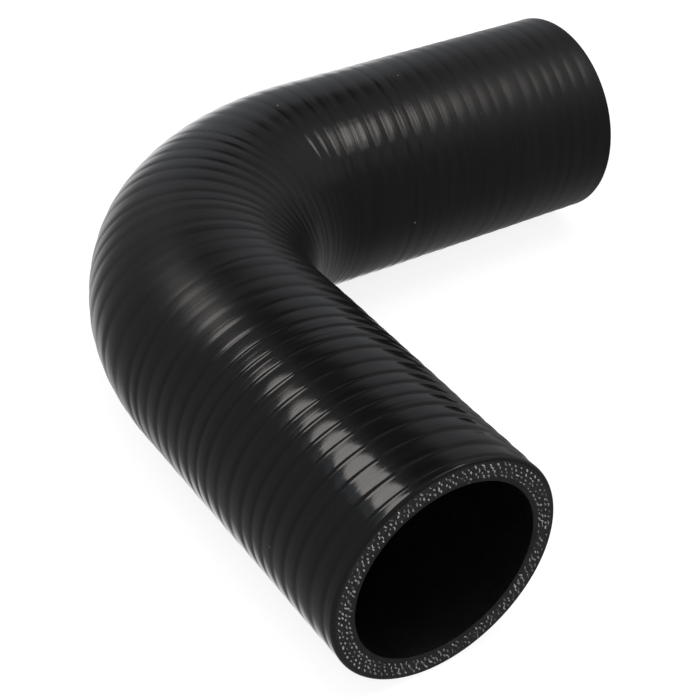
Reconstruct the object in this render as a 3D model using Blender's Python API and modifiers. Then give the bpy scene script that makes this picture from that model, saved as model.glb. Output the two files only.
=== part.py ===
"""A 90 degree elbow hose of silicone rubber, moulded in one piece and lying on its side.

The hose is built up on a mandrel and cured under a tight wrapping tape. The tape's overlapping
turns leave a shallow helical ridge in the skin, all along the hose: on the way from the front
end to the rear end, the skin steps up sharply at each turn and then slopes back down.

Units are metres and +Z is up. The hose rests on Z = 0, with the origin under the middle of its
outline as seen from above. Its front leg ends facing -Y, and its rear leg ends facing +X.
"""

from math import ceil, cos, pi, sin, sqrt

import bmesh
import bpy
from mathutils import Vector

# Driving dimensions
BORE_DIAMETER = 0.032
WALL = 0.0041  # from the bore to halfway up the ridge
LEG_LENGTH = 0.100  # from the corner where the two legs' axes cross to each cut end
BEND_RADIUS = 0.040  # of the bore's axis
RIDGE_PITCH = 0.0032  # one turn of the wrapping tape
RIDGE_HEIGHT = 0.0003
RIDGE_STEP_LENGTH = 0.0004  # how far along the hose the sharp side of the ridge reaches
CUT_EDGE_RADIUS = 0.0005  # where a cut end meets the skin

# Fineness of the round shapes. Four divides the skin's sides, so the ridge reaches its full
# height at the top, the bottom and both flanks of the hose.
SKIN_SIDES = 32
BORE_SIDES = 32
BEND_STEPS = 16
EDGE_STEPS = 3

# How many turns of the ridge, and how far the bore cutter, reach past each finished end
SPARE_TURNS = 2
CUTTER_REACH = 0.006

# Points this close together count as one, and points this close to a cut lie on it
WELD_DISTANCE = 0.000005

BORE_RADIUS = BORE_DIAMETER / 2
CREST_RADIUS = BORE_RADIUS + WALL + RIDGE_HEIGHT / 2
VALLEY_RADIUS = CREST_RADIUS - RIDGE_HEIGHT
STRAIGHT_LENGTH = LEG_LENGTH - BEND_RADIUS
BEND_LENGTH = BEND_RADIUS * pi / 2
AXIS_LENGTH = 2 * STRAIGHT_LENGTH + BEND_LENGTH

# The corner of the two axes: seen from above, the outline is a square round the origin
OUTLINE_SIDE = LEG_LENGTH + CREST_RADIUS
CORNER = Vector((CREST_RADIUS - OUTLINE_SIDE / 2, OUTLINE_SIDE / 2 - CREST_RADIUS, CREST_RADIUS))

UP = Vector((0, 0, 1))
FRONT_DIRECTION = Vector((0, -1, 0))
REAR_DIRECTION = Vector((1, 0, 0))
BEND_CENTRE = CORNER + BEND_RADIUS * (FRONT_DIRECTION + REAR_DIRECTION)


def clear_scene():
    """Remove every object, so that the file holds this hose alone."""
    for obj in list(bpy.data.objects):
        bpy.data.objects.remove(obj, do_unlink=True)


def make_collection(name):
    """Add a collection to the scene."""
    collection = bpy.data.collections.new(name)
    bpy.context.scene.collection.children.link(collection)
    return collection


def add_object(name, data, collection):
    """Put mesh or curve data in the scene as an object."""
    obj = bpy.data.objects.new(name, data)
    collection.objects.link(obj)
    return obj


def mark_as_cutter(obj):
    """Keep a cutter out of renders, and draw it as wire."""
    obj.hide_render = True
    obj.display_type = "WIRE"


def profile_mesh(name, points):
    """A mesh of one open line, from points given as distance from the axis and height."""
    mesh = bpy.data.meshes.new(name)
    edges = [(i, i + 1) for i in range(len(points) - 1)]
    mesh.from_pydata([(radius, 0, height) for radius, height in points], edges, [])
    return mesh


def freeze(obj):
    """Replace an object's mesh or curve by the mesh that its modifiers give."""
    graph = bpy.context.evaluated_depsgraph_get()
    mesh = bpy.data.meshes.new_from_object(obj.evaluated_get(graph))
    mesh.name = obj.name
    collection = obj.users_collection[0]
    matrix = obj.matrix_world.copy()
    name = obj.name
    bpy.data.objects.remove(obj, do_unlink=True)
    frozen = add_object(name, mesh, collection)
    frozen.matrix_world = matrix
    return frozen


def on_bent_axis(point):
    """Carry a point of the straight hose onto the bent one.

    In the straight hose Z is the distance along the axis from the front end, X points to the
    inner side of the bend and Y points down. The bend keeps distances along the axis.
    """
    past_front_leg = point.z - STRAIGHT_LENGTH
    turn = min(max(past_front_leg, 0), BEND_LENGTH) / BEND_RADIUS
    inward = cos(turn) * REAR_DIRECTION + sin(turn) * FRONT_DIRECTION
    onward = sin(turn) * REAR_DIRECTION - cos(turn) * FRONT_DIRECTION
    straight_part = past_front_leg - turn * BEND_RADIUS
    axis_point = BEND_CENTRE - BEND_RADIUS * inward + straight_part * onward
    return axis_point + point.x * inward - point.y * UP


def bisect(bm, height, outward, drop_waste):
    """Cut a straight hose across, and return the edges that lie on the cut.

    Where drop_waste is set, what lies past the cut goes: above it where outward is 1, and below
    it where outward is -1.
    """
    result = bmesh.ops.bisect_plane(
        bm,
        geom=bm.verts[:] + bm.edges[:] + bm.faces[:],
        dist=WELD_DISTANCE,
        plane_co=(0, 0, height),
        plane_no=(0, 0, outward),
        clear_outer=drop_waste,
    )
    return [item for item in result["geom_cut"] if isinstance(item, bmesh.types.BMEdge)]


def cut_end(bm, height, outward):
    """Cut one end of a straight hose square, close it and round the edge of the cut face.

    Rings are cut into the skin at the steps of a quarter circle. Each point of the skin then
    moves towards the axis by as much as the quarter circle drops at its depth behind the face.
    """
    rim = bisect(bm, height, outward, drop_waste=True)
    bmesh.ops.holes_fill(bm, edges=rim, sides=0)
    for i in range(EDGE_STEPS):
        depth = CUT_EDGE_RADIUS * (1 - sin(pi / 2 * i / EDGE_STEPS))
        bisect(bm, height - outward * depth, outward, drop_waste=False)
    for vert in bm.verts:
        past_start = CUT_EDGE_RADIUS - abs(vert.co.z - height)
        if past_start > 0:
            drop = CUT_EDGE_RADIUS - sqrt(CUT_EDGE_RADIUS**2 - past_start**2)
            vert.co.xy *= 1 - drop / vert.co.xy.length


def make_wrapped_hose(collection):
    """The hose before its bore is cut: a solid with the helical ridge, cut to length and bent.

    One turn of the ridge is a profile that steps up and slopes back down. A Screw modifier
    carries it round and along, and the turns are welded edge to edge.
    """
    one_turn = [
        (VALLEY_RADIUS, 0),
        (CREST_RADIUS, RIDGE_STEP_LENGTH),
        (VALLEY_RADIUS, RIDGE_PITCH),
    ]
    hose = add_object("elbow_hose", profile_mesh("ridge_profile", one_turn), collection)
    screw = hose.modifiers.new("wrap", "SCREW")
    screw.axis = "Z"
    screw.angle = -2 * pi
    screw.screw_offset = RIDGE_PITCH
    screw.steps = SKIN_SIDES
    screw.render_steps = SKIN_SIDES
    # The first and the last turn have ragged ends, which go with the waste
    screw.iterations = ceil(AXIS_LENGTH / RIDGE_PITCH) + 2 * SPARE_TURNS
    hose = freeze(hose)

    bm = bmesh.new()
    bm.from_mesh(hose.data)
    bmesh.ops.remove_doubles(bm, verts=bm.verts, dist=WELD_DISTANCE)
    bmesh.ops.translate(bm, verts=bm.verts, vec=(0, 0, -SPARE_TURNS * RIDGE_PITCH))
    cut_end(bm, 0, outward=-1)
    cut_end(bm, AXIS_LENGTH, outward=1)
    for vert in bm.verts:
        vert.co = on_bent_axis(vert.co)
    bmesh.ops.recalc_face_normals(bm, faces=bm.faces)
    bm.to_mesh(hose.data)
    bm.free()
    return hose


def make_bore_cutter(collection):
    """A bent rod along the hose's axis, as wide as the bore and longer than the hose."""
    bend_step = BEND_LENGTH / BEND_STEPS
    heights = [-CUTTER_REACH]
    heights += [STRAIGHT_LENGTH + bend_step * i for i in range(BEND_STEPS + 1)]
    heights += [AXIS_LENGTH + CUTTER_REACH]
    curve = bpy.data.curves.new("bore_cutter", "CURVE")
    curve.dimensions = "3D"
    curve.bevel_depth = BORE_RADIUS
    curve.bevel_resolution = BORE_SIDES // 2 - 2  # gives the bore this many sides
    curve.use_fill_caps = True
    spline = curve.splines.new("POLY")
    spline.points.add(len(heights) - 1)
    for point, height in zip(spline.points, heights):
        point.co = (*on_bent_axis(Vector((0, 0, height))), 1)
    cutter = freeze(add_object("bore_cutter", curve, collection))

    bm = bmesh.new()
    bm.from_mesh(cutter.data)
    bmesh.ops.remove_doubles(bm, verts=bm.verts, dist=WELD_DISTANCE)
    bmesh.ops.recalc_face_normals(bm, faces=bm.faces)
    bm.to_mesh(cutter.data)
    bm.free()
    mark_as_cutter(cutter)
    return cutter


def cut(obj, cutter):
    """Take a cutter's shape out of an object with a live Boolean."""
    boolean = obj.modifiers.new(cutter.name, "BOOLEAN")
    boolean.operation = "DIFFERENCE"
    boolean.solver = "EXACT"
    boolean.object = cutter


def silicone_material():
    """Glossy black silicone rubber."""
    material = bpy.data.materials.new("black_silicone")
    material.use_nodes = True
    shader = material.node_tree.nodes["Principled BSDF"]
    shader.inputs["Base Color"].default_value = (0.014, 0.014, 0.015, 1)
    shader.inputs["Roughness"].default_value = 0.32
    shader.inputs["Metallic"].default_value = 0.0
    return material


def main():
    """Build the wrapped hose, then cut its bore."""
    clear_scene()
    parts = make_collection("silicone_elbow_hose")
    cutters = make_collection("cutters")
    hose = make_wrapped_hose(parts)
    cut(hose, make_bore_cutter(cutters))
    hose.data.materials.append(silicone_material())
    hose.data.shade_smooth()
    hose.data.set_sharp_from_angle(angle=pi / 6)


main()
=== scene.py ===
"""A right-angle silicone hose: the looks of its skin, cut faces, bore and yarn ends, in a studio.

The hose is one cured moulding. A tape was wound tightly round it before it was cured, and left a
shallow, uneven helical ridge in its glossy skin. Both ends were cut square with a knife, and show
the ends of four plies of yarn between a plain liner and a plain outer layer.

Units are metres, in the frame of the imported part: +Z is up and the hose rests on Z = 0. Distance
along the hose runs from its front end. The angle theta round it is zero on the inner side of the
bend, a quarter turn at the top and a half turn on the outer side. The turns of the tape are
counted from the front end too, and a point's turn grows by one on each way round the hose.
"""

import logging
from dataclasses import dataclass, field
from enum import Enum
from math import cos, inf, pi, radians, sin, tan

import bpy
import numpy as np
from mathutils import Matrix, Quaternion, Vector


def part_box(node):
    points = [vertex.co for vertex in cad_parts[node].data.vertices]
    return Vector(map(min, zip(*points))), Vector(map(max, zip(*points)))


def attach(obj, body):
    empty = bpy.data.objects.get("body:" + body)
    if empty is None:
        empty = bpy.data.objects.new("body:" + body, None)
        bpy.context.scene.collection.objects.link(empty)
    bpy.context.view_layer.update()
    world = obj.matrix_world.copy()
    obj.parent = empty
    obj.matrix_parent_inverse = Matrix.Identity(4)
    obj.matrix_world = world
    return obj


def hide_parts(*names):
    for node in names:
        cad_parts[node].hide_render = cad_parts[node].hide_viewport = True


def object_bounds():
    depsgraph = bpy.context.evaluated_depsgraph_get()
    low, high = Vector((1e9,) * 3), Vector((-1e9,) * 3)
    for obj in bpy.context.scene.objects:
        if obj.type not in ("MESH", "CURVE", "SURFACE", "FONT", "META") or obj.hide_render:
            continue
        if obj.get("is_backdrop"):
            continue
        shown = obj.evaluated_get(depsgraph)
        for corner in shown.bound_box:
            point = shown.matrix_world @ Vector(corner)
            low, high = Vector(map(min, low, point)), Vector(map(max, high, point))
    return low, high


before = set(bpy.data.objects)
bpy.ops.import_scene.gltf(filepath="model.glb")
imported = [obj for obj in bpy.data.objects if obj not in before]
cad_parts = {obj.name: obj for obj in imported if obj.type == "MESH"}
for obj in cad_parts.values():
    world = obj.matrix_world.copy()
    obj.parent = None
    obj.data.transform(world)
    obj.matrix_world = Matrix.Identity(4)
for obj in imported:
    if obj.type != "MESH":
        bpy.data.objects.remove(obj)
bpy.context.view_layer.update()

log = logging.getLogger("silicone_elbow_hose")

Socket = bpy.types.NodeSocket
Values = np.ndarray | float
Triple = tuple[float, float, float]
Colour = tuple[float, float, float, float]

HOSE_NODE = "elbow_hose"
BODY = "root"
TAPE_UV_MAP = "wrap"
FULL_TURN = 2 * pi

# The image that the camera is set for
IMAGE_WIDTH = 700
SENSOR_WIDTH = 36.0


class HoseEnd(Enum):
    """The two cut ends of the hose."""

    FRONT = "front"
    REAR = "rear"


class Surface(Enum):
    """The finishes of the moulding, in the order of its material slots."""

    SKIN = 0
    CUT_FACE = 1
    BORE = 2


# Meshes


def make_mesh_object(name: str, vertices: np.ndarray, faces: list[list[int]]) -> bpy.types.Object:
    """Put vertices and faces in the scene as a smooth-shaded object at the origin.

    Args:
        name: The object's name.
        vertices: Places in metres, one row for each vertex.
        faces: The vertex numbers of each face, anticlockwise as seen from outside.

    Returns:
        The new object.
    """
    mesh = bpy.data.meshes.new(name)
    mesh.from_pydata(vertices.tolist(), [], faces)
    mesh.update()
    mesh.shade_smooth()
    obj = bpy.data.objects.new(name, mesh)
    bpy.context.scene.collection.objects.link(obj)
    return obj


def ride_as_hose(obj: bpy.types.Object) -> None:
    """Fix a piece to the hose's body."""
    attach(obj, BODY)


def triangle_count(obj: bpy.types.Object) -> int:
    """Return how many triangles an object's faces make."""
    return len(obj.data.loops) - 2 * len(obj.data.polygons)


@dataclass(frozen=True)
class Ripple:
    """A smooth, seeded, uneven value over the turns of the wrap, for instance a step's height.

    The value is a sum of sine waves. Wave i has its own phase, goes round the hose a whole number
    of times, so that it has no seam, and has its own number of waves for each turn of the wrap.
    """

    seed: int
    slowest: float
    fastest: float
    waves: int = 9
    most_round: int = 2
    headroom: float = 1.5

    def at(self, turn: Values, theta: Values) -> np.ndarray:
        """Work the value out as whole arrays.

        Args:
            turn: How many turns of tape lie before each point.
            theta: The angle of each point round the axis.

        Returns:
            The value at each point, mostly from -1 to 1.
        """
        rng = np.random.default_rng(self.seed)
        pace = rng.uniform(self.slowest, self.fastest, self.waves)
        round_count = rng.integers(-self.most_round, self.most_round + 1, self.waves)
        start = rng.uniform(0, FULL_TURN, self.waves)
        total = np.zeros(np.broadcast(turn, theta).shape)
        for i in range(self.waves):
            total += np.sin(FULL_TURN * pace[i] * turn + round_count[i] * theta + start[i])
        return total * np.sqrt(2 / self.waves) / self.headroom


@dataclass(frozen=True)
class Lobe:
    """A value that is greatest along one side of the hose, given by its angle in degrees.

    Round the hose it is a power of the cosine of the angle from that side, and nothing beyond a
    quarter turn. It is full between two turns of the tape, less a straight fade at each end.
    """

    amount: float
    angle: float
    focus: float
    turns: tuple[float, float] = (-inf, inf)
    fade: float = 4.0

    def at(self, turn: Values, theta: Values) -> np.ndarray:
        """Work the value out as whole arrays.

        Args:
            turn: How many turns of tape lie before each point.
            theta: The angle of each point round the axis.

        Returns:
            The value at each point.
        """
        by_side = np.clip(np.cos(theta - radians(self.angle)), 0, None) ** self.focus
        first, last = self.turns
        rising = np.clip((turn - first) / self.fade, 0, 1)
        return self.amount * by_side * rising * np.clip((last - turn) / self.fade, 0, 1)


@dataclass(frozen=True)
class HoseAxis:
    """The bent line that the hose follows, from the centre of its front end to its rear end."""

    crest_radius: float
    leg_length: float
    corner: Triple
    bend_radius: float = 0.040

    @classmethod
    def from_frame(cls, low: Vector, high: Vector) -> "HoseAxis":
        """Work the axis out from the CAD node's box.

        The hose lies on its side, so its height is twice its outer radius, and its outline from
        above is a square whose side is a leg's length and that radius.

        Args:
            low: The box's lowest corner.
            high: The box's highest corner.

        Returns:
            The axis.
        """
        radius = (high.z - low.z) / 2
        leg = high.x - low.x - radius
        return cls(radius, leg, (low.x + radius, high.y - radius, low.z + radius))

    @property
    def straight(self) -> float:
        """Length of the straight part of each leg."""
        return self.leg_length - self.bend_radius

    @property
    def bend_length(self) -> float:
        """Length of the bend along the axis."""
        return self.bend_radius * pi / 2

    @property
    def length(self) -> float:
        """Length of the whole axis."""
        return 2 * self.straight + self.bend_length

    def behind(self, end: HoseEnd, depth: Values) -> Values:
        """Return the distance along the axis at a depth behind one of the cut faces."""
        return depth if end is HoseEnd.FRONT else self.length - depth

    def place(self, along: Values, radius: Values, theta: Values) -> np.ndarray:
        """Carry points given along and round the axis into the frame.

        The direction to the inner side of the bend turns from +X to -Y on the way round it. A
        point is the bend's centre, less the bend's radius in that direction, plus what is left
        of the distance in the direction of travel, plus the radius at the angle theta.

        Args:
            along: Distance along the axis.
            radius: Distance from the axis.
            theta: Angle round the axis.

        Returns:
            The places, with X, Y and Z in the last dimension.
        """
        along, radius, theta = np.broadcast_arrays(along, radius, theta)
        past = along - self.straight
        turn = np.clip(past, 0, self.bend_length) / self.bend_radius
        zero = np.zeros_like(turn)
        inward = np.stack([np.cos(turn), -np.sin(turn), zero], axis=-1)
        onward = np.stack([np.sin(turn), np.cos(turn), zero], axis=-1)
        up = np.array([0.0, 0.0, 1.0])
        centre = np.array(self.corner) + self.bend_radius * np.array([1.0, -1.0, 0.0])
        on_axis = centre - self.bend_radius * inward
        on_axis = on_axis + (past - turn * self.bend_radius)[..., None] * onward
        across = (radius * np.cos(theta))[..., None] * inward
        return on_axis + across + (radius * np.sin(theta))[..., None] * up


@dataclass(frozen=True)
class TapeWrap:
    """The helical ridge that the wrapping tape left: where each turn lies and how high it is."""

    crest_radius: float
    pitch: float = 0.0032
    height: float = 0.0003
    crown: float = 0.85

    # The step's share of a turn: wide and soft, but narrow where the tape lay taut
    soft_step: float = 0.36
    taut_step: float = 0.07
    tautness: Lobe = Lobe(1.0, angle=114, focus=5, turns=(-inf, 16.5), fade=5.0)

    # How unevenly the tape was wound by hand
    wander: float = 0.00036
    lean: float = 0.0012
    lean_angle: float = radians(62)

    # The step's share of the full height: on the quietest side, and what is added for a taut
    # tape, on each side (inner, upper inner, outer and lower) and by chance
    least_share: float = 0.19
    taut_gain: float = 0.12
    side_gains: tuple[Lobe, ...] = (
        Lobe(-0.076, angle=-20, focus=2),
        Lobe(0.38, angle=48, focus=8),
        Lobe(0.20, angle=165, focus=4),
        Lobe(0.38, angle=278, focus=8),
    )
    height_change: float = 0.045

    # How much of the step is lost where the bend stretched the tape, where it pressed the tape
    # and on the rear leg
    losses: tuple[Lobe, ...] = (
        Lobe(0.75, angle=115, focus=4, turns=(13.0, 27.0)),
        Lobe(0.55, angle=10, focus=2, turns=(15.5, 41.0)),
        Lobe(0.50, angle=80, focus=2, turns=(29.0, 80.0)),
    )
    swell: float = 0.00003
    bulge: float = 0.00001

    pace_ripple: Ripple = Ripple(seed=11, slowest=0.12, fastest=0.46, most_round=0)
    height_ripple: Ripple = Ripple(seed=23, slowest=0.10, fastest=0.55)
    swell_ripple: Ripple = Ripple(seed=37, slowest=0.04, fastest=0.22, most_round=3)
    bulge_ripple: Ripple = Ripple(seed=41, slowest=0.20, fastest=0.60, most_round=3)

    # How a turn is found from a place: the number of corrections and the share of each
    corrections: int = 40
    correction_share: float = 0.7

    def along(self, turn: Values, theta: Values) -> np.ndarray:
        """Find how far along the axis a point of the tape lies.

        It is the pitch for each turn, plus a slow wander, plus a lean that is a sine of the
        angle, because the tape wasn't wound quite square to the axis.

        Args:
            turn: How many turns of tape lie before each point, whole where a step begins
                at the inner side.
            theta: Angle round the axis.

        Returns:
            Distance along the axis.
        """
        wandering = self.wander * self.pace_ripple.at(turn, np.zeros(1))
        return self.pitch * turn + wandering + self.lean * np.sin(theta - self.lean_angle)

    def turn_at(self, along: Values, theta: Values) -> np.ndarray:
        """Find the turn that passes a place: the function above, solved by repeated correction.

        Args:
            along: Distance along the axis.
            theta: Angle round the axis.

        Returns:
            The turn at each place.
        """
        along, theta = np.broadcast_arrays(along, theta)
        turn = along / self.pitch
        for _ in range(self.corrections):
            turn = turn - self.correction_share * (self.along(turn, theta) - along) / self.pitch
        return turn

    def step_height(self, turn: Values, theta: Values) -> np.ndarray:
        """Find how high the step is.

        It changes slowly from place to place. It is highest on the upper inner side, where the
        tape lay loosest, and lower where the bend stretched or pressed the tape and at the rear.

        Args:
            turn: How many turns of tape lie before each point.
            theta: Angle round the axis.

        Returns:
            The height.
        """
        share = self.least_share + self.taut_gain * self.tautness.at(turn, theta)
        share = share + sum(lobe.at(turn, theta) for lobe in self.side_gains)
        share = share + self.height_change * self.height_ripple.at(turn, theta)
        kept = 1 - sum(lobe.at(turn, theta) for lobe in self.losses)
        return self.height * share * np.clip(kept, 0, 1)

    def radius(self, turn: Values, theta: Values, phase: Values) -> np.ndarray:
        """Find the skin's distance from the axis.

        The skin climbs from the valley to the crest over the first share of each turn, as a
        smooth step, and falls back along a crowned slope, part straight line and part parabola.
        A swelling, and a bulge in the middle of each turn, change slowly from place to place.

        Args:
            turn: How many turns of tape lie before each point.
            theta: Angle round the axis.
            phase: From 0 at the foot of a step to 1 at the foot of the next one.

        Returns:
            Distance from the axis.
        """
        taut = self.tautness.at(turn, theta)
        share = self.soft_step + (self.taut_step - self.soft_step) * taut
        rise = np.clip(phase / share, 0, 1)
        rise = rise * rise * (3 - 2 * rise)
        fall = np.clip((phase - share) / (1 - share), 0, 1)
        fall = (1 - self.crown) * fall + self.crown * fall**2
        valley = self.crest_radius - self.height
        height = self.step_height(turn, theta)
        swell = self.swell * self.swell_ripple.at(turn, theta)
        bulge = self.bulge * self.bulge_ripple.at(turn, theta) * 4 * phase * (1 - phase)
        return valley + height * rise * (1 - fall) + swell + bulge

    def radius_at(self, along: Values, theta: Values) -> np.ndarray:
        """Return the skin's distance from the axis at a distance along it and an angle."""
        turn = self.turn_at(along, theta)
        return self.radius(turn, theta, np.mod(turn - theta / FULL_TURN, 1))


@dataclass
class HoseMoulding:
    """The moulding itself, as one closed surface: skin, two cut faces and bore."""

    axis: HoseAxis
    wrap: TapeWrap
    bore_radius: float = 0.016
    edge_radius: float = 0.0005
    bore_edge_radius: float = 0.0002
    face_relief: float = 0.00002
    sharp_angle: float = radians(70)
    columns: int = 116
    step_rows: int = 5
    slope_phases: tuple[float, ...] = (0.16, 0.22, 0.29, 0.38, 0.52, 0.70, 0.88)
    edge_rings: int = 5
    face_rings: int = 7
    bore_edge_rings: int = 3
    bend_rings: int = 44
    leg_rings: int = 7
    spare_turns: int = 3

    vertices: list[np.ndarray] = field(default_factory=list, init=False)
    vertex_count: int = field(default=0, init=False)
    faces: list[np.ndarray] = field(default_factory=list, init=False)
    face_uvs: list[np.ndarray] = field(default_factory=list, init=False)
    face_surfaces: list[np.ndarray] = field(default_factory=list, init=False)

    @property
    def theta(self) -> np.ndarray:
        """Angle of each column of vertices round the axis."""
        return FULL_TURN * np.arange(self.columns) / self.columns

    def add_vertices(self, places: np.ndarray) -> np.ndarray:
        """Store places and return their vertex numbers, in the same shape less X, Y and Z."""
        count = places[..., 0].size
        numbers = self.vertex_count + np.arange(count).reshape(places.shape[:-1])
        self.vertices.append(places.reshape(-1, 3))
        self.vertex_count += count
        return numbers

    def add_faces(self, corners: np.ndarray, uvs: np.ndarray, surface: Surface) -> None:
        """Store four-cornered faces of one finish.

        Args:
            corners: Four vertex numbers for each face.
            uvs: The place of each corner on the tape: its turn, and its phase within the turn.
            surface: The faces' finish.
        """
        self.faces.append(corners)
        self.face_uvs.append(uvs)
        self.face_surfaces.append(np.full(len(corners), surface.value))

    def tape_uvs(self, turn: np.ndarray, low: Values, high: Values) -> np.ndarray:
        """Make the UVs of faces that are one column long and lie side by side.

        Args:
            turn: The turn at the start of each face.
            low: The V of each face's first and last corner.
            high: The V of its other two corners.

        Returns:
            Four UVs for each face.
        """
        onward = turn + 1 / self.columns
        turns = np.stack([turn, turn, onward, onward], axis=-1)
        across = np.broadcast_to(np.stack([low, high, high, low], axis=-1), turns.shape)
        return np.stack([turns, across], axis=-1).reshape(-1, 4, 2)

    def add_band(self, ring: np.ndarray, following: np.ndarray, surface: Surface,
                 across: tuple[float, float] = (0.5, 0.5)) -> None:
        """Join two rings of vertices by a band of faces.

        Args:
            ring: Vertex numbers of the first ring, one for each column.
            following: Vertex numbers of the ring that follows it.
            surface: The band's finish.
            across: The V of both rings: on a cut face, 0 at the rim and 1 at the bore.
        """
        corners = np.stack([ring, following, np.roll(following, -1), np.roll(ring, -1)], axis=-1)
        self.add_faces(corners, self.tape_uvs(self.theta / FULL_TURN, *across), surface)

    def add_skin(self) -> tuple[np.ndarray, np.ndarray]:
        """Lay the skin as a grid whose rows follow the tape round and round the hose.

        Row r has a fixed phase within its turn, so that every step has the same rows. The grid is
        sheared: after the last column, row r goes on as the first column of the row one turn
        later. Rows that run past an end are clamped to it, and their faces vanish there.

        Returns:
            The vertex numbers of the first and the last ring of the skin.
        """
        wrap, theta = self.wrap, self.theta
        rising = np.linspace(0, wrap.taut_step, self.step_rows + 1)
        phases = np.concatenate([rising, self.slope_phases])
        rows_per_turn = len(phases)
        turn_count = int(np.ceil(self.axis.length / wrap.pitch)) + 2 * self.spare_turns
        row_phase = np.tile(phases, turn_count)[:, None]
        whole = np.repeat(np.arange(turn_count) - self.spare_turns, rows_per_turn)[:, None]
        turn = whole + row_phase + theta / FULL_TURN

        along = wrap.along(turn, theta)
        first, last = self.edge_radius, self.axis.length - self.edge_radius
        clamped = np.clip(along, first, last)
        inside = wrap.radius(turn, theta, row_phase)
        radius = np.where(along == clamped, inside, wrap.radius_at(clamped, theta))
        numbers = self.add_vertices(self.axis.place(clamped, radius, theta))

        # In each column, every row before the first end stands for one vertex of the end ring
        columns = np.arange(self.columns)
        first_row = (along <= first).sum(axis=0) - 1
        last_row = (along < last).sum(axis=0)
        merged = numbers[np.clip(np.arange(len(turn))[:, None], first_row, last_row), columns]

        def at_corners(grid: np.ndarray) -> np.ndarray:
            """Return what a grid holds at the four corners of every face."""
            onward = np.concatenate([grid[:-rows_per_turn, 1:], grid[rows_per_turn:, :1]], axis=1)
            grid = grid[:-rows_per_turn]
            return np.stack([grid[:-1], grid[1:], onward[1:], onward[:-1]], axis=-1).reshape(-1, 4)

        next_phase = np.tile(np.append(phases[1:], 1.0), turn_count)[:, None]
        rows = slice(0, len(turn) - rows_per_turn - 1)
        uvs = self.tape_uvs(turn[rows], row_phase[rows], next_phase[rows])
        is_face = np.ptp(at_corners(clamped), axis=1) > 0
        self.add_faces(at_corners(merged)[is_face], uvs[is_face], Surface.SKIN)
        return numbers[first_row, columns], numbers[last_row, columns]

    def end_face_rings(self, end: HoseEnd, seed: int) -> list[tuple[np.ndarray, Surface, float]]:
        """Make the rings of one cut end, from the skin's last ring to the bore's first one.

        The outer edge is the skin less the drop of a quarter circle at that depth. The flat face
        goes inwards in even steps with a slight relief, and a smaller quarter circle ends it.

        Args:
            end: Which end the rings are for.
            seed: Seed of the relief that the knife left.

        Returns:
            Each ring's vertex numbers, the finish of the band that leads to it, and how far
            across the face it lies, from 0 at the rim to 1 at the bore.
        """
        axis, theta = self.axis, self.theta
        rings = []

        def add_ring(depth: Values, radius: Values, surface: Surface, across: float) -> None:
            """Add a ring at a depth behind the cut face and a distance from the axis."""
            places = axis.place(axis.behind(end, depth), radius, theta)
            rings.append((self.add_vertices(places), surface, across))

        rim = None
        for angle in np.linspace(0, pi / 2, self.edge_rings + 1)[1:]:
            depth = self.edge_radius * (1 - sin(angle))
            skin = self.wrap.radius_at(axis.behind(end, depth), theta)
            rim = skin - self.edge_radius * (1 - cos(angle))
            add_ring(depth, rim, Surface.SKIN, 0.0)
        relief = Ripple(seed=seed, slowest=0.0, fastest=3.0, waves=12, most_round=9)
        bore_rim = self.bore_radius + self.bore_edge_radius
        for share in np.linspace(0, 1, self.face_rings + 1)[1:]:
            depth = self.face_relief * (1 + relief.at(share, theta)) * (share < 1)
            add_ring(depth, rim + (bore_rim - rim) * share, Surface.CUT_FACE, share)
        for angle in np.linspace(0, pi / 2, self.bore_edge_rings + 1)[1:]:
            depth = self.bore_edge_radius * (1 - cos(angle))
            radius = bore_rim - self.bore_edge_radius * sin(angle)
            add_ring(depth, radius, Surface.CUT_FACE, 1.0)
        return rings

    def bore_rings(self) -> list[np.ndarray]:
        """Make the rings of the bore, from the rear end to the front one.

        Returns:
            The vertex numbers of each ring.
        """
        axis = self.axis
        leg = np.linspace(self.bore_edge_radius, axis.straight, self.leg_rings + 1)[1:]
        bend = axis.straight + np.linspace(0, axis.bend_length, self.bend_rings + 1)[1:-1]
        alongs = np.concatenate([leg, bend, axis.length - leg[::-1]])
        places = axis.place(alongs[::-1, None], self.bore_radius, self.theta)
        return list(self.add_vertices(places))

    def build(self) -> bpy.types.Object:
        """Make the closed surface: along the skin, through the rear face, back by the bore.

        Returns:
            The moulding, which stands for the CAD node.
        """
        front, rear = self.add_skin()
        ring, across = rear, 0.0
        for following, surface, share in self.end_face_rings(HoseEnd.REAR, seed=61):
            self.add_band(ring, following, surface, (across, share))
            ring, across = following, share
        for following in self.bore_rings():
            self.add_band(ring, following, Surface.BORE)
            ring = following
        surface = Surface.BORE
        for following, next_surface, share in self.end_face_rings(HoseEnd.FRONT, seed=67)[::-1]:
            self.add_band(ring, following, surface, (across, share))
            ring, surface, across = following, next_surface, share
        self.add_band(ring, front, surface, (across, 0.0))
        return self.make_object()

    def make_object(self) -> bpy.types.Object:
        """Turn the stored arrays into an object, without unused vertices or collapsed sides.

        Returns:
            The moulding.
        """
        used, corners = np.unique(np.concatenate(self.faces), return_inverse=True)
        corners = corners.reshape(-1, 4)
        vertices = np.concatenate(self.vertices)[used]
        keep = corners != np.roll(corners, -1, axis=1)
        is_face = keep.sum(axis=1) >= 3
        keep = keep[is_face]
        faces = [row[mask].tolist() for row, mask in zip(corners[is_face], keep)]
        uvs = np.concatenate(self.face_uvs)[is_face][keep]
        surfaces = np.concatenate(self.face_surfaces)[is_face]

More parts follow.
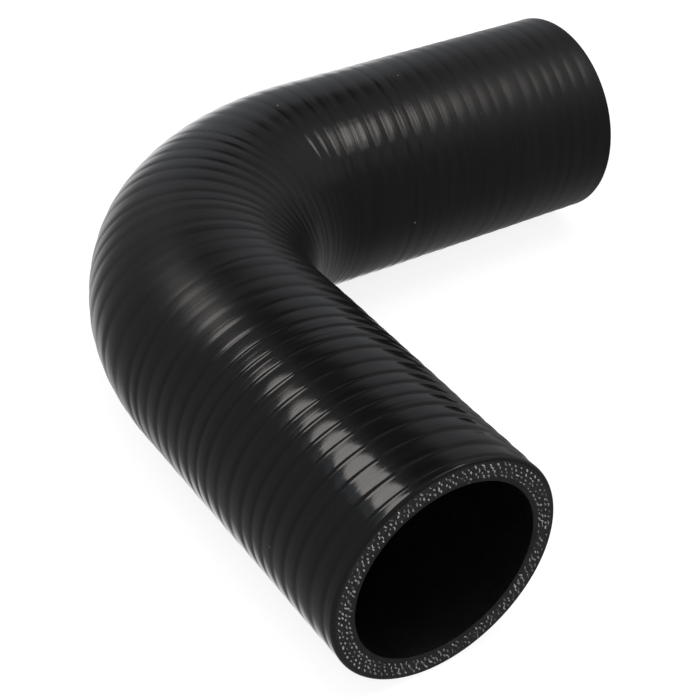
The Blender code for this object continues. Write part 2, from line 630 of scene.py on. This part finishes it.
        obj = make_mesh_object("silicone_hose", vertices, faces)
        mesh = obj.data
        mesh.polygons.foreach_set("material_index", surfaces.astype(np.int32))
        layer = mesh.uv_layers.new(name=TAPE_UV_MAP)
        layer.data.foreach_set("uv", uvs.astype(np.float32).ravel())
        mesh.set_sharp_from_angle(angle=self.sharp_angle)
        mesh.update()
        ride_as_hose(obj)
        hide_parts(HOSE_NODE)
        return obj


@dataclass
class YarnEnds:
    """The cut ends of the plies' yarn, which stand up from a cut face as pale tufts."""

    axis: HoseAxis
    end: HoseEnd
    seed: int
    ply_radii: tuple[float, ...] = (0.01700, 0.01762, 0.01824, 0.01884)
    spacing: float = radians(4.1)
    length: float = 0.00071
    width: float = 0.00034
    height: float = 0.00011
    sunk: float = 0.00004
    round_sides: int = 8
    waist_width: float = 0.72
    waist_height: float = 0.70

    # How the tufts differ from each other
    angle_shift: float = 0.2
    radius_spread: float = 0.00006
    lean_spread: float = radians(13)
    sizes: tuple[float, float] = (0.66, 1.14)
    length_shares: tuple[float, float] = (0.8, 1.2)
    dash_share: float = 0.22
    dash_stretch: float = 1.5
    hook_spread: float = 0.35
    hook_from: float = 0.6

    # What the knife did: its direction and where it dragged the tufts most. Then the side of the
    # face towards which the tufts are darker, and by how much
    cut_angle: float = radians(115)
    long_angle: float = radians(305)
    long_gain: float = 0.35
    darker_side_angle: float = radians(350)
    side_darkening: float = 0.20

    # How pale the tufts are: by chance, in bunches round the face, and the darkest one
    shade_powers: tuple[float, float] = (2.4, 1.5)
    bunching: float = 0.25
    bunch_waves: tuple[int, int] = (5, 3)
    bunch_start: float = 1.3
    darkest: float = 0.03

    def dome(self) -> np.ndarray:
        """Return the points of one tuft: a ring at its foot, a ring above it and the top."""
        side = FULL_TURN * np.arange(self.round_sides) / self.round_sides
        foot = np.stack([np.cos(side), np.sin(side), np.zeros_like(side)], axis=-1)
        waist = foot * self.waist_width + np.array([0, 0, self.waist_height])
        return np.concatenate([foot, waist, [[0, 0, 1]]])

    def faces(self, count: int) -> list[list[int]]:
        """Make the faces of all the tufts, outwards.

        Args:
            count: How many tufts there are.

        Returns:
            The vertex numbers of each face.
        """
        n, i = self.round_sides, np.arange(self.round_sides)
        j = (i + 1) % n
        walls = np.stack([i, j, n + j, n + i], axis=-1)
        tops = np.stack([n + i, n + j, np.full(n, 2 * n)], axis=-1)
        offsets = (2 * n + 1) * np.arange(count)
        faces = (walls[None] + offsets[:, None, None]).reshape(-1, 4).tolist()
        faces += (tops[None] + offsets[:, None, None]).reshape(-1, 3).tolist()
        faces += (i[::-1] + offsets[:, None]).tolist()
        return [face[::-1] for face in faces] if self.end is HoseEnd.FRONT else faces

    def build(self) -> bpy.types.Object:
        """Make every tuft as a small closed dome, in whole arrays.

        The tufts go round each ply in even steps, every other ply half a step on. The knife
        dragged them all one way, so their long sides lie about along one line and are longest on
        one side of the face. The tufts are darker towards another side of the face. A tuft is hooked:
        moved sideways by a share of the square of the distance along it.

        Returns:
            The tufts as one object.
        """
        rng = np.random.default_rng(self.seed)
        per_ply = int(FULL_TURN / self.spacing)
        ply = np.repeat(np.arange(len(self.ply_radii)), per_ply)
        step = np.tile(np.arange(per_ply), len(self.ply_radii))
        count = len(ply)
        shift = rng.uniform(-self.angle_shift, self.angle_shift, count)
        angle = (step + 0.5 * (ply % 2) + shift) * self.spacing
        radius = np.array(self.ply_radii)[ply] + rng.normal(0, self.radius_spread, count)
        lean = angle + pi / 2 - self.cut_angle + rng.normal(0, self.lean_spread, count)
        size = rng.uniform(*self.sizes, count)
        dragged = 1 + self.long_gain * np.clip(np.cos(angle - self.long_angle), 0, None)
        is_dash = rng.uniform(size=count) < self.dash_share
        stretch = np.where(is_dash, self.dash_stretch, 1.0) * dragged
        half_length = self.length / 2 * size * stretch * rng.uniform(*self.length_shares, count)
        half_width = self.width / 2 * size / np.sqrt(stretch)
        hook = rng.normal(0, self.hook_spread, count) * (stretch - self.hook_from)
        many, few = self.bunch_waves
        bunches = np.sin(many * angle + self.bunch_start) * np.sin(few * angle + ply)
        # The tufts are darker towards one side of the face, by the cosine of the angle from it
        side_darkened = self.side_darkening * np.clip(np.cos(angle - self.darker_side_angle), 0, None)
        shade = rng.beta(*self.shade_powers, count) + self.bunching * bunches - side_darkened
        shade = np.clip(shade, self.darkest, 1)

        dome = self.dome()
        local_x = dome[:, 0] * half_length[:, None]
        hooked = hook[:, None] * local_x**2 / half_length[:, None]
        local_y = dome[:, 1] * half_width[:, None] + hooked
        tangent = local_x * np.cos(lean)[:, None] - local_y * np.sin(lean)[:, None]
        radial = local_x * np.sin(lean)[:, None] + local_y * np.cos(lean)[:, None]
        depth = self.sunk - dome[:, 2] * (self.height + self.sunk)
        along = self.axis.behind(self.end, depth)
        at_angle = angle[:, None] + tangent / radius[:, None]
        places = self.axis.place(along, radius[:, None] + radial, at_angle).reshape(-1, 3)

        obj = make_mesh_object(f"{self.end.value}_yarn_ends", places, self.faces(count))
        attribute = obj.data.attributes.new("yarn_shade", "FLOAT", "POINT")
        attribute.data.foreach_set("value", np.repeat(shade, len(dome)).astype(np.float32))
        ride_as_hose(obj)
        return obj


# Materials


class NodeTree:
    """Adds nodes to a tree and links them, so that a material reads from top to bottom."""

    def __init__(self, tree: bpy.types.NodeTree) -> None:
        """Start with an empty tree."""
        self.tree = tree
        tree.nodes.clear()

    def add(self, kind: str, inputs: dict | None = None, **settings: object) -> bpy.types.Node:
        """Add one node.

        Args:
            kind: The node's type.
            inputs: A value or an output socket for each input, by its name or number.
            settings: The node's own settings.

        Returns:
            The node.
        """
        node = self.tree.nodes.new(kind)
        for name, value in settings.items():
            setattr(node, name, value)
        for name, value in (inputs or {}).items():
            if isinstance(value, Socket):
                self.tree.links.new(value, node.inputs[name])
            else:
                node.inputs[name].default_value = value
        return node

    def math(self, operation: str, *values: Socket | float) -> Socket:
        """Add a Math node and return its result."""
        return self.add("ShaderNodeMath", dict(enumerate(values)), operation=operation).outputs[0]

    def times(self, first: Socket | float, second: Socket | float) -> Socket:
        """Return the product of two values."""
        return self.math("MULTIPLY", first, second)

    def ramp(self, value: Socket, low: float, high: float, to_low: float = 0.0,
             to_high: float = 1.0) -> Socket:
        """Map a value smoothly from one range onto another.

        Args:
            value: The socket to map.
            low: Where the result starts to change.
            high: Where it stops.
            to_low: The result at the start.
            to_high: The result at the stop.

        Returns:
            The result.
        """
        inputs = {"Value": value, "From Min": low, "From Max": high}
        inputs |= {"To Min": to_low, "To Max": to_high}
        node = self.add("ShaderNodeMapRange", inputs, interpolation_type="SMOOTHSTEP")
        return node.outputs["Result"]

    def mix(self, share: Socket, first: Socket | Colour, second: Socket | Colour) -> Socket:
        """Mix two colours by a share and return the colour."""
        inputs = {0: share, 6: first, 7: second}
        return self.add("ShaderNodeMix", inputs, data_type="RGBA").outputs[2]

    def noise(self, place: Socket, scale: Socket | float, detail: Socket | float = 2.0,
              roughness: float = 0.5) -> Socket:
        """Add a noise texture and return its value."""
        inputs = {"Vector": place, "Scale": scale, "Detail": detail, "Roughness": roughness}
        return self.add("ShaderNodeTexNoise", inputs).outputs[0]

    def bump(self, depth: float, height: Socket, normal: Socket | None = None) -> Socket:
        """Return the normal of a surface that a height raises by up to a depth.

        Args:
            depth: How far a height of one stands out, in metres.
            height: The height, from 0 to 1.
            normal: The normal of the bumps under these ones, if there are any.

        Returns:
            The normal.
        """
        inputs = {"Strength": 1.0, "Distance": depth, "Height": height}
        if normal is not None:
            inputs["Normal"] = normal
        return self.add("ShaderNodeBump", inputs).outputs[0]

    def use(self, group: bpy.types.NodeTree, **values: float) -> Socket:
        """Place a node group with its own values and return its output."""
        return self.add("ShaderNodeGroup", values, node_tree=group).outputs[0]


class SharedEffects:
    """The node groups that more than one of the hose's finishes uses."""

    def __init__(self) -> None:
        """Build each group once."""
        self.grain = self.make_grain()
        self.specks = self.make_specks()
        self.scratches = self.make_scratches()

    @staticmethod
    def start(name: str, output: str,
              **inputs: float) -> tuple[NodeTree, bpy.types.bpy_prop_collection, Socket]:
        """Start a node group with float inputs and one float output.

        Args:
            name: The group's name.
            output: The output's name.
            inputs: Each input's name and usual value.

        Returns:
            The group's tree, its inputs by name, and the place of the shaded point.
        """
        tree = bpy.data.node_groups.new(name, "ShaderNodeTree")
        for label, value in inputs.items():
            socket = tree.interface.new_socket(label, in_out="INPUT", socket_type="NodeSocketFloat")
            socket.default_value = value
        tree.interface.new_socket(output, in_out="OUTPUT", socket_type="NodeSocketFloat")
        nodes = NodeTree(tree)
        given = nodes.add("NodeGroupInput").outputs
        return nodes, given, nodes.add("ShaderNodeTexCoord").outputs["Object"]

    def make_grain(self) -> bpy.types.NodeTree:
        """Make the fine and middling unevenness of rubber.

        Returns:
            The group, which puts out one value from 0 to 1.
        """
        wide_scale, fine_share = 0.12, 0.65
        nodes, given, place = self.start("rubber_grain", "Value", Scale=3000.0, Detail=4.0)
        fine = nodes.times(nodes.noise(place, given["Scale"], given["Detail"]), fine_share)
        wide = nodes.noise(place, nodes.times(given["Scale"], wide_scale))
        both = nodes.math("MULTIPLY_ADD", wide, 1 - fine_share, fine)
        nodes.add("NodeGroupOutput", {"Value": both})
        return nodes.tree

    def make_specks(self) -> bpy.types.NodeTree:
        """Make a mask of stray dust: a dot at the middle of some cells of a Voronoi pattern.

        Returns:
            The group.
        """
        nodes, given, place = self.start("dust_specks", "Mask", Scale=170.0, Size=0.04, Share=0.15)
        cells = nodes.add("ShaderNodeTexVoronoi", {"Vector": place, "Scale": given["Scale"]})
        chance = nodes.add("ShaderNodeSeparateColor", {"Color": cells.outputs["Color"]}).outputs
        is_speck = nodes.math("LESS_THAN", chance["Red"], given["Share"])
        reach = nodes.times(given["Size"], nodes.math("ADD", chance["Green"], 0.4))
        farness = nodes.math("DIVIDE", cells.outputs["Distance"], reach)
        dot = nodes.ramp(nodes.math("SUBTRACT", 1.0, farness), 0.0, 0.5)
        nodes.add("NodeGroupOutput", {"Mask": nodes.times(dot, is_speck)})
        return nodes.tree

    def make_scratches(self) -> bpy.types.NodeTree:
        """Make a mask of hair-thin scuffs: the contour lines of a stretched noise, in patches.

        Returns:
            The group.
        """
        nodes, given, place = self.start("hair_scratches", "Mask", Scale=260.0, Width=0.006)
        stretch = {"Vector": place, "Rotation": (0.7, 0.4, 0.9), "Scale": (0.16, 1.0, 1.0)}
        stretched = nodes.add("ShaderNodeMapping", stretch).outputs[0]
        contours = nodes.noise(stretched, given["Scale"], 1.0)
        off_line = nodes.math("ABSOLUTE", nodes.math("SUBTRACT", contours, 0.5))
        line = nodes.ramp(nodes.math("DIVIDE", off_line, given["Width"]), 1.0, 0.0)
        patches = nodes.ramp(nodes.noise(place, 55.0), 0.56, 0.68)
        nodes.add("NodeGroupOutput", {"Mask": nodes.times(line, patches)})
        return nodes.tree


def new_material(name: str) -> tuple[bpy.types.Material, NodeTree]:
    """Start a material and return it with its empty tree."""
    material = bpy.data.materials.new(name)
    material.use_nodes = True
    return material, NodeTree(material.node_tree)


def close_material(nodes: NodeTree, colour: Socket, roughness: Socket | float, refraction: float,
                   normal: Socket) -> None:
    """Add the Principled shader and link it to the output.

    Args:
        nodes: The material's tree.
        colour: The base colour.
        roughness: The roughness.
        refraction: The index of refraction.
        normal: The normal.
    """
    inputs = {"Base Color": colour, "Roughness": roughness, "IOR": refraction, "Normal": normal}
    shader = nodes.add("ShaderNodeBsdfPrincipled", inputs)
    nodes.add("ShaderNodeOutputMaterial", {"Surface": shader.outputs[0]})


@dataclass(frozen=True)
class SkinFinish:
    """Glossy cured silicone with the fine lines of the wrapping film, a few scuffs and dust."""

    black: Colour = (0.0048, 0.0048, 0.0050, 1)
    paler_black: Colour = (0.0068, 0.0067, 0.0066, 1)
    dust: Colour = (0.16, 0.155, 0.15, 1)
    refraction: float = 1.42

    # Roughness, and what is added to it: by scuffs, by dust, near the rear end and on the bend
    smoothest: float = 0.09
    roughest: float = 0.15
    scratch_roughness: float = 0.22
    dust_roughness: float = 0.4
    calm_roughness: float = 0.23
    bend_roughness: float = 0.17

    # The turns over which the rear leg begins, its end grows calm, and the bend begins and ends
    rear_leg_turns: tuple[float, float] = (26.0, 40.0)
    calm_turns: tuple[float, float] = (40.0, 49.0)
    bend_start_turns: tuple[float, float] = (11.5, 16.5)
    bend_stop_turns: tuple[float, float] = (26.0, 31.0)

    # Bumps, with the share of the lines that the front leg has and of the wrinkles that the
    # calm end has
    line_depth: float = 0.000012
    front_line_share: float = 0.22
    wrinkle_depth: float = 0.00004
    calm_wrinkle_share: float = 0.3
    film_edge_depth: float = 0.000012
    film_edge_width: float = 0.10
    film_edge_phase: float = 0.27
    film_edge_drift: float = 0.5
    grain_depth: float = 0.0000010
    scratch_height: float = -1.5

    def build(self, effects: SharedEffects) -> bpy.types.Material:
        """Make the material.

        The film's lines are a noise stretched along the tape, by a UV map that gives the turn
        and the phase within it. The film's own edge is a soft step that drifts across the tape.

        Args:
            effects: The shared node groups.

        Returns:
            The material.
        """
        material, nodes = new_material("glossy_silicone_skin")
        tape = nodes.add("ShaderNodeUVMap", uv_map=TAPE_UV_MAP).outputs[0]
        turn, phase, _ = nodes.add("ShaderNodeSeparateXYZ", {"Vector": tape}).outputs

        def tape_noise(along: float, across: float, detail: float = 1.0) -> Socket:
            """Return a noise with its own number of waves for each turn and across the tape."""
            inputs = {"Vector": tape, "Scale": (along, across, 1.0)}
            place = nodes.add("ShaderNodeMapping", inputs).outputs[0]
            return nodes.noise(place, 1.0, detail, 0.55)

        lines = tape_noise(2.2, 13.0, 3.0)
        clouds = tape_noise(3.0, 1.2, 2.0)
        wrinkles = tape_noise(1.6, 2.4)
        drift = tape_noise(0.45, 0.3)
        shown = nodes.ramp(tape_noise(0.8, 0.2), 0.46, 0.62)
        grain = nodes.use(effects.grain, Scale=2600.0, Detail=3.0)
        specks = nodes.use(effects.specks, Scale=150.0, Size=0.034, Share=0.90)
        scratches = nodes.use(effects.scratches, Scale=230.0, Width=0.005)
        rear_leg = nodes.ramp(turn, *self.rear_leg_turns)
        calm = nodes.ramp(turn, *self.calm_turns)
        bend_start = nodes.ramp(turn, *self.bend_start_turns)
        bend = nodes.times(bend_start, nodes.ramp(turn, *self.bend_stop_turns, 1.0, 0.0))

        tone = nodes.mix(nodes.ramp(clouds, 0.35, 0.7), self.black, self.paler_black)
        colour = nodes.mix(nodes.times(specks, 0.8), tone, self.dust)
        rough = nodes.ramp(clouds, 0.3, 0.75, self.smoothest, self.roughest)
        for mask, gain in ((scratches, self.scratch_roughness), (specks, self.dust_roughness),
                           (calm, self.calm_roughness), (bend, self.bend_roughness)):
            rough = nodes.math("MULTIPLY_ADD", mask, gain, rough)

        least = self.front_line_share
        line_share = nodes.math("MULTIPLY_ADD", rear_leg, 1 - least, least)
        normal = nodes.bump(self.line_depth, nodes.times(lines, line_share))
        wrinkle_share = nodes.ramp(turn, *self.calm_turns, 1.0, self.calm_wrinkle_share)
        wrinkles = nodes.times(wrinkles, nodes.times(rear_leg, wrinkle_share))
        normal = nodes.bump(self.wrinkle_depth, wrinkles, normal)
        edge_phase = nodes.math("MULTIPLY_ADD", drift, self.film_edge_drift, self.film_edge_phase)
        half = self.film_edge_width / 2
        edge = nodes.ramp(nodes.math("SUBTRACT", phase, edge_phase), -half, half)
        normal = nodes.bump(self.film_edge_depth, nodes.times(edge, shown), normal)
        fine = nodes.math("MULTIPLY_ADD", scratches, self.scratch_height, grain)
        normal = nodes.bump(self.grain_depth, fine, normal)
        close_material(nodes, colour, rough, self.refraction, normal)
        return material


@dataclass(frozen=True)
class CutFaceFinish:
    """Rubber cut with a knife: matt and granular, with a fluff of yarn where the plies lie."""

    rubber: Colour = (0.012, 0.0118, 0.0117, 1)
    paler_rubber: Colour = (0.026, 0.025, 0.0245, 1)
    lint: Colour = (0.17, 0.165, 0.16, 1)
    fluff: Colour = (0.034, 0.0325, 0.032, 1)
    refraction: float = 1.42
    plies_start: float = 0.07
    plies_stop: float = 0.80
    soft_edge: float = 0.07
    grain_depth: float = 0.00002

    def build(self, effects: SharedEffects) -> bpy.types.Material:
        """Make the material.

        Args:
            effects: The shared node groups.

        Returns:
            The material.
        """
        material, nodes = new_material("cut_silicone_face")
        grain = nodes.use(effects.grain, Scale=5200.0, Detail=5.0)
        lint = nodes.use(effects.specks, Scale=900.0, Size=0.16, Share=0.10)
        fibres = nodes.use(effects.grain, Scale=2100.0, Detail=6.0)
        tape = nodes.add("ShaderNodeUVMap", uv_map=TAPE_UV_MAP).outputs[0]
        across = nodes.add("ShaderNodeSeparateXYZ", {"Vector": tape}).outputs["Y"]
        start, stop, soft = self.plies_start, self.plies_stop, self.soft_edge
        past_rim = nodes.ramp(across, start - soft, start + soft)
        in_plies = nodes.times(past_rim, nodes.ramp(across, stop - soft, stop + soft, 1.0, 0.0))

        tone = nodes.mix(nodes.ramp(grain, 0.4, 0.66), self.rubber, self.paler_rubber)
        fluff = nodes.times(in_plies, nodes.ramp(fibres, 0.40, 0.66, 0.1, 1.0))
        tone = nodes.mix(fluff, tone, self.fluff)
        colour = nodes.mix(nodes.times(lint, 0.5), tone, self.lint)
        rough = nodes.ramp(grain, 0.35, 0.65, 0.58, 0.82)
        normal = nodes.bump(self.grain_depth, grain)
        close_material(nodes, colour, rough, self.refraction, normal)
        return material


@dataclass(frozen=True)
class BoreFinish:
    """The liner, moulded against the mandrel: black and satin, with faint scuffs."""

    black: Colour = (0.0021, 0.0021, 0.0022, 1)
    paler_black: Colour = (0.0034, 0.0034, 0.0034, 1)
    refraction: float = 1.32
    grain_depth: float = 0.000008

    def build(self, effects: SharedEffects) -> bpy.types.Material:
        """Make the material.

        Args:
            effects: The shared node groups.

        Returns:
            The material.
        """
        material, nodes = new_material("satin_liner_bore")
        grain = nodes.use(effects.grain, Scale=1800.0, Detail=3.0)
        scratches = nodes.use(effects.scratches, Scale=150.0, Width=0.008)
        tone = nodes.mix(nodes.ramp(grain, 0.4, 0.65), self.black, self.paler_black)
        rough = nodes.ramp(grain, 0.35, 0.65, 0.44, 0.58)
        normal = nodes.bump(self.grain_depth, nodes.math("SUBTRACT", grain, scratches))
        close_material(nodes, tone, rough, self.refraction, normal)
        return material


@dataclass(frozen=True)
class YarnFinish:
    """Undyed polyester yarn, more or less stained with black rubber."""

    rubbery: Colour = (0.05, 0.049, 0.048, 1)
    clean: Colour = (0.60, 0.595, 0.585, 1)
    roughness: float = 0.75
    refraction: float = 1.45
    grain_depth: float = 0.00002

    def build(self, effects: SharedEffects) -> bpy.types.Material:
        """Make the material.

        Args:
            effects: The shared node groups.

        Returns:
            The material.
        """
        material, nodes = new_material("polyester_yarn")
        shade = nodes.add("ShaderNodeAttribute", attribute_name="yarn_shade").outputs["Fac"]
        grain = nodes.use(effects.grain, Scale=9000.0, Detail=3.0)
        share = nodes.times(shade, nodes.ramp(grain, 0.3, 0.62, 0.35, 1.0))
        colour = nodes.mix(share, self.rubbery, self.clean)
        normal = nodes.bump(self.grain_depth, grain)
        close_material(nodes, colour, self.roughness, self.refraction, normal)
        return material


# The studio


def direction_to(azimuth: float, elevation: float) -> Vector:
    """Return the direction at an azimuth from +Y towards +X and an elevation, in degrees."""
    azimuth, elevation = radians(azimuth), radians(elevation)
    return Vector((sin(azimuth) * cos(elevation), cos(azimuth) * cos(elevation), sin(elevation)))


class LampShape(Enum):
    """The outline of a softbox's front."""

    SQUARE = "RECTANGLE"
    ROUND = "ELLIPSE"


@dataclass(frozen=True)
class Softbox:
    """A soft lamp, given by the direction in which a point of the hose sees its middle.

    Angles are in degrees. Azimuth 0 is the direction +Y and goes towards +X. The lamp's own
    length lies as near as it can to the direction of the leg that it lights.
    """

    name: str
    azimuth: float
    elevation: float
    half_across: float
    half_along: float
    radiance: float
    tint: Triple = (1.0, 1.0, 1.0)
    seen_from: Triple = (0.0, 0.0, 0.020)
    leg: Triple = (0.0, 1.0, 0.0)
    distance: float = 0.9
    shape: LampShape = LampShape.ROUND
    mirrored: bool = True

    def build(self) -> None:
        """Put the lamp in the scene.

        A side is twice the distance times the tangent of its half angle, and the lamp's power
        is its radiance times pi times its area.
        """
        towards = direction_to(self.azimuth, self.elevation)
        across = Vector(self.leg).cross(towards).normalized()
        along = towards.cross(across)
        data = bpy.data.lights.new(self.name, "AREA")
        data.shape = self.shape.value
        data.size = 2 * self.distance * tan(radians(self.half_across))
        data.size_y = 2 * self.distance * tan(radians(self.half_along))
        full = pi / 4 if self.shape is LampShape.ROUND else 1.0
        data.energy = self.radiance * pi * data.size * data.size_y * full
        data.color = self.tint
        lamp = bpy.data.objects.new(self.name, data)
        lamp.visible_glossy = self.mirrored
        turn = Matrix((across, along, towards)).transposed()
        place = Vector(self.seen_from) + towards * self.distance
        lamp.matrix_world = Matrix.LocRotScale(place, turn.to_quaternion(), None)
        bpy.context.scene.collection.objects.link(lamp)


@dataclass(frozen=True)
class Glow:
    """A round patch of the surrounding with a soft edge; angles are in degrees, as for a lamp."""

    azimuth: float
    elevation: float
    core: float
    edge: float
    colour: Triple

    def paint(self, nodes: NodeTree, direction: Socket, under: Socket | Colour) -> Socket:
        """Lay the patch over a colour: full inside its core, and nothing outside its edge.

        Args:
            nodes: The world's tree.
            direction: The direction of each ray.
            under: The colour that the patch is laid over.

        Returns:
            The colour with the patch.
        """
        inputs = {0: direction, 1: direction_to(self.azimuth, self.elevation)}
        nearness = nodes.add("ShaderNodeVectorMath", inputs, operation="DOT_PRODUCT").outputs["Value"]
        share = nodes.ramp(nearness, cos(radians(self.edge)), cos(radians(self.core)))
        return nodes.mix(share, under, (*self.colour, 1))


@dataclass(frozen=True)
class Studio:
    """A pale floor, soft lamps, a soft surrounding and the camera."""

    # The camera's axis meets the middle plane of the hose here
    aim: Triple = (-0.02225, -0.00837, 0.02025)
    camera_azimuth: float = 215.83
    camera_elevation: float = 36.83
    camera_roll: float = 3.48
    camera_distance: float = 0.2919
    focal_length_pixels: float = 1722.8
    clip: tuple[float, float] = (0.01, 10)

    floor_size: float = 4.0
    floor_colour: Colour = (0.30, 0.30, 0.305, 1)
    floor_lift: float = 0.84
    surrounding: Colour = (0.27, 0.27, 0.275, 1)
    glows: tuple[Glow, ...] = (
        Glow(22, 49, core=3, edge=22, colour=(0.03, 0.03, 0.032)),
        Glow(138, -12, core=15, edge=50, colour=(0.19, 0.19, 0.195)),
        Glow(112, 48, core=15, edge=35, colour=(0.47, 0.46, 0.46)),
        Glow(27, 12, core=12, edge=32, colour=(0.39, 0.40, 0.43)),
        Glow(20, -31, core=13, edge=33, colour=(1.08, 1.08, 1.10)),
        Glow(34, -20, core=7, edge=18, colour=(1.12, 1.12, 1.14)),
        Glow(48, -25, core=5, edge=12, colour=(0.10, 0.10, 0.105)),
    )

    def softboxes(self) -> list[Softbox]:
        """Return the lamps: each leg's gloss with its spill, one above and one in front."""
        warm = (1.0, 0.95, 0.91)
        blue = (0.72, 0.86, 1.0)
        front = {"seen_from": (-0.050, -0.040, 0.038)}
        rear = {"tint": warm, "seen_from": (0.008, 0.0275, 0.036), "leg": (1, 0, 0)}
        unseen = {"shape": LampShape.SQUARE, "mirrored": False}
        return [
            Softbox("key_box", -30.5, 47.4, 12.3, 9.0, 4.8, tint=warm, **front),
            Softbox("key_spill", -42.7, 38.3, 9, 9, 0.35, tint=blue, **front),
            Softbox("side_box", 112.7, 58.2, 10.5, 4.0, 3.1, **rear),
            Softbox("side_halo", 114, 58, 17, 7, 1.1, distance=0.95, **rear),
            Softbox("side_spill", 140, 64, 14, 12, 1.0, **rear),
            Softbox("top_box", 0, 88, 19, 19, 2.2, **unseen),
            Softbox("front_box", 213, 30, 17, 17, 3.6, **unseen),
        ]

    def add_floor(self, height: float) -> None:
        """Lay the floor.

        Is Camera Ray lifts its colour to white for the camera alone, so that the floor keeps the
        shadow and the hose gets no light from the lift. Glossy rays pass through the floor to
        the surrounding, which stands for what the skin mirrors.

        Args:
            height: How high the floor lies.
        """
        half = self.floor_size / 2
        sides = ((-half, -half), (half, -half), (half, half), (-half, half))
        corners = np.array([(x, y, height) for x, y in sides])
        floor = make_mesh_object("studio_floor", corners, [[0, 1, 2, 3]])
        material, nodes = new_material("pale_floor")
        diffuse = nodes.add("ShaderNodeBsdfDiffuse", {"Color": self.floor_colour}).outputs[0]
        rays = nodes.add("ShaderNodeLightPath").outputs
        seen = nodes.times(rays["Is Camera Ray"], self.floor_lift)
        lift = nodes.add("ShaderNodeEmission", {"Strength": seen}).outputs[0]
        both = nodes.add("ShaderNodeAddShader", {0: diffuse, 1: lift}).outputs[0]
        nodes.add("ShaderNodeOutputMaterial", {"Surface": both})
        floor.data.materials.append(material)
        floor.visible_glossy = False
        floor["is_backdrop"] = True

    def add_surrounding(self) -> None:
        """Make the world: white for the camera, and for all else dim with its glows laid over it."""
        world = bpy.data.worlds.new("studio_surrounding")
        world.use_nodes = True
        bpy.context.scene.world = world
        nodes = NodeTree(world.node_tree)
        direction = nodes.add("ShaderNodeTexCoord").outputs["Generated"]
        colour = self.surrounding
        for glow in self.glows:
            colour = glow.paint(nodes, direction, colour)
        seen = nodes.add("ShaderNodeLightPath").outputs["Is Camera Ray"]
        colour = nodes.mix(seen, colour, (1, 1, 1, 1))
        background = nodes.add("ShaderNodeBackground", {"Color": colour, "Strength": 1.0})
        nodes.add("ShaderNodeOutputWorld", {"Surface": background.outputs[0]})

    def add_camera(self) -> None:
        """Set the camera at the angle, distance and focal length of the photograph."""
        back = direction_to(self.camera_azimuth, self.camera_elevation)
        data = bpy.data.cameras.new("camera")
        data.sensor_width = SENSOR_WIDTH
        data.lens = self.focal_length_pixels * SENSOR_WIDTH / IMAGE_WIDTH
        data.clip_start, data.clip_end = self.clip
        camera = bpy.data.objects.new("camera", data)
        turn = (-back).to_track_quat("-Z", "Y") @ Quaternion((0, 0, 1), radians(self.camera_roll))
        place = Vector(self.aim) + back * self.camera_distance
        camera.matrix_world = Matrix.LocRotScale(place, turn, None)
        bpy.context.scene.collection.objects.link(camera)
        bpy.context.scene.camera = camera

    def build(self, floor_height: float) -> None:
        """Make the whole studio, with its floor at a height."""
        for softbox in self.softboxes():
            softbox.build()
        self.add_floor(floor_height)
        self.add_surrounding()
        self.add_camera()
        bpy.context.scene.view_settings.view_transform = "Standard"


def main() -> None:
    """Build the hose, its yarn ends and the studio, in that order."""
    logging.basicConfig(level=logging.INFO, format="%(message)s")
    axis = HoseAxis.from_frame(*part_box(HOSE_NODE))
    wrap = TapeWrap(axis.crest_radius)
    effects = SharedEffects()

    hose = HoseMoulding(axis, wrap).build()
    for finish in (SkinFinish(), CutFaceFinish(), BoreFinish()):
        hose.data.materials.append(finish.build(effects))
    log.info("%s: %d triangles", hose.name, triangle_count(hose))

    yarn = YarnFinish().build(effects)
    for end, seed in ((HoseEnd.FRONT, 71), (HoseEnd.REAR, 73)):
        tufts = YarnEnds(axis, end, seed).build()
        tufts.data.materials.append(yarn)
        log.info("%s: %d triangles", tufts.name, triangle_count(tufts))

    visual_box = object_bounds()
    Studio().build(min(0.0, visual_box[0].z))


if __name__ == "__main__":
    main()
